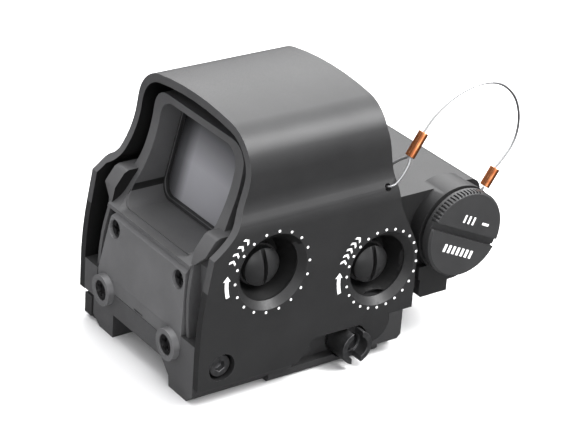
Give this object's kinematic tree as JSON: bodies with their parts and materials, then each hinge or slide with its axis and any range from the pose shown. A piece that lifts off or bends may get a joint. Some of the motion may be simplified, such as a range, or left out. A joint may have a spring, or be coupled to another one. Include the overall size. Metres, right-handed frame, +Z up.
{
  "type": "reflex sight",
  "caption": "Compact hooded reflex sight for an accessory rail, with slotted adjusters, a tethered battery cap, push buttons and a lever clamp.",
  "frame": {"origin": "centre of the rail groove's ceiling, 20 mm behind the cross bolt", "axes": "+X towards the shooter's right, +Y down range along the rail, +Z up"},
  "size_m": [0.057, 0.0908, 0.0653],
  "materials": {
    "anodised_black": "satin, fine blasted grain",
    "anodised_grey": "satin",
    "blackened_steel": "oiled",
    "bright_steel": "bright",
    "brass": "turned",
    "gold_contact": "plated",
    "copper": "bright copper",
    "coated_glass": "coated",
    "clear_glass": "clear",
    "black_rubber": "matte",
    "black_plastic": "matte",
    "circuit_green": "solder mask",
    "cell_wrap": "gloss sleeve",
    "red_emitter": "clear red"
  },
  "bodies": {
    "root": {"hood": "anodised_black", "base_mount": "anodised_black", "optical_housing": "anodised_grey", "rear_plate": "anodised_grey", "plate_screws": "bright_steel", "collar_screws": "blackened_steel", "hood_screws": "blackened_steel", "rear_retainer": "anodised_black", "rear_glass": "coated_glass", "front_glass": "clear_glass", "front_bezel": "anodised_black", "elevation_bush": "brass", "windage_bush": "brass", "adjuster_seals": "black_rubber", "circuit_board": "circuit_green", "board_parts": "black_plastic", "board_screws": "bright_steel", "battery_box": "anodised_black", "box_screws": "blackened_steel", "battery_cell": "cell_wrap", "cell_contact": "gold_contact", "contact_spring": "bright_steel", "cap_seal": "black_rubber", "tether_hood_loop": "bright_steel", "hood_sleeve": "copper", "tether_wire": "bright_steel", "cross_bolt": "blackened_steel", "lever_pin": "bright_steel", "button_bezel": "anodised_black", "switch_board": "circuit_green", "dome_switches": "bright_steel"},
    "elevation_adjuster": {"elevation_adjuster": "anodised_black"},
    "windage_adjuster": {"windage_adjuster": "anodised_black"},
    "elevation_wedge": {"elevation_wedge": "bright_steel"},
    "windage_wedge": {"windage_wedge": "bright_steel"},
    "yoke": {"yaw_yoke": "anodised_grey", "cradle_pin": "bright_steel"},
    "cradle": {"lens_cradle": "anodised_black", "reflex_lens": "coated_glass", "led_holder": "black_plastic", "led_emitter": "red_emitter"},
    "cap_carrier": {"tether_ring": "bright_steel", "cap_sleeve": "copper", "tether_cap_tail": "bright_steel"},
    "cap": {"battery_cap": "anodised_black", "cap_contact": "gold_contact"},
    "washer": {"bolt_washer": "bright_steel"},
    "nut": {"slotted_nut": "blackened_steel"},
    "jaw": {"clamp_jaw": "anodised_black"},
    "lever": {"lever": "anodised_black"},
    "up_button": {"up_button": "black_rubber"},
    "mode_button": {"mode_button": "black_rubber"},
    "down_button": {"down_button": "black_rubber"}
  },
  "joints": [
    {"name": "elevation_turn", "type": "hinge", "parent": "root", "child": "elevation_adjuster", "pos_m": [0.02, -0.0046, 0.0242], "axis": [1, 0, 0], "range_deg": [-700, 700]},
    {"name": "windage_turn", "type": "hinge", "parent": "root", "child": "windage_adjuster", "pos_m": [0.02, 0.0267, 0.0172], "axis": [1, 0, 0], "range_deg": [-700, 700]},
    {"name": "elevation_wedge_slide", "type": "slide", "parent": "root", "child": "elevation_wedge", "axis": [1, 0, 0], "range_m": [-0.0007, 0.0007]},
    {"name": "windage_wedge_slide", "type": "slide", "parent": "root", "child": "windage_wedge", "axis": [1, 0, 0], "range_m": [-0.0007, 0.0007]},
    {"name": "cradle_yaw", "type": "hinge", "parent": "root", "child": "yoke", "pos_m": [0, 0.01, 0.008], "axis": [0, 0, 1], "range_deg": [-0.57, 0.57]},
    {"name": "cradle_pitch", "type": "hinge", "parent": "yoke", "child": "cradle", "pos_m": [0, 0.01, 0.017], "axis": [1, 0, 0], "range_deg": [-0.57, 0.57]},
    {"name": "cap_travel", "type": "slide", "parent": "root", "child": "cap_carrier", "axis": [1, 0, 0], "range_m": [0, 0.004], "deforming": ["tether_wire"]},
    {"name": "cap_turn", "type": "hinge", "parent": "cap_carrier", "child": "cap", "pos_m": [0.025, 0.0505, 0.0216], "axis": [1, 0, 0], "range_deg": [0, 1155]},
    {"name": "nut_travel", "type": "slide", "parent": "root", "child": "washer", "axis": [1, 0, 0], "range_m": [0, 0.000775]},
    {"name": "nut_turn", "type": "hinge", "parent": "washer", "child": "nut", "pos_m": [0.025, 0.02, -0.0006], "axis": [1, 0, 0], "range_deg": [0, 350]},
    {"name": "jaw_slide", "type": "slide", "parent": "root", "child": "jaw", "axis": [-1, 0, 0], "range_m": [0, 0.0016]},
    {"name": "lever_turn", "type": "hinge", "parent": "root", "child": "lever", "pos_m": [-0.021, 0.02, -0.003], "axis": [0, 0, -1], "range_deg": [0, 95]},
    {"name": "up_press", "type": "slide", "parent": "root", "child": "up_button", "axis": [1, 0, 0], "range_m": [0, 0.0007], "stiffness_N_per_m": 400},
    {"name": "mode_press", "type": "slide", "parent": "root", "child": "mode_button", "axis": [1, 0, 0], "range_m": [0, 0.0007], "stiffness_N_per_m": 400},
    {"name": "down_press", "type": "slide", "parent": "root", "child": "down_button", "axis": [1, 0, 0], "range_m": [0, 0.0007], "stiffness_N_per_m": 400}
  ],
  "couplings": [
    {"joint": "elevation_turn", "follows": "cradle_pitch", "ratio": 1219.5},
    {"joint": "elevation_wedge_slide", "follows": "cradle_pitch", "m_per_rad": 0.0679},
    {"joint": "windage_turn", "follows": "cradle_yaw", "ratio": 1219.5},
    {"joint": "windage_wedge_slide", "follows": "cradle_yaw", "m_per_rad": 0.0679},
    {"joint": "cap_turn", "follows": "cap_travel", "rad_per_m": 5027.7},
    {"joint": "nut_turn", "follows": "nut_travel", "rad_per_m": 7874},
    {"joint": "jaw_slide", "follows": "lever_turn", "m_per_rad": 0.00096}
  ]
}
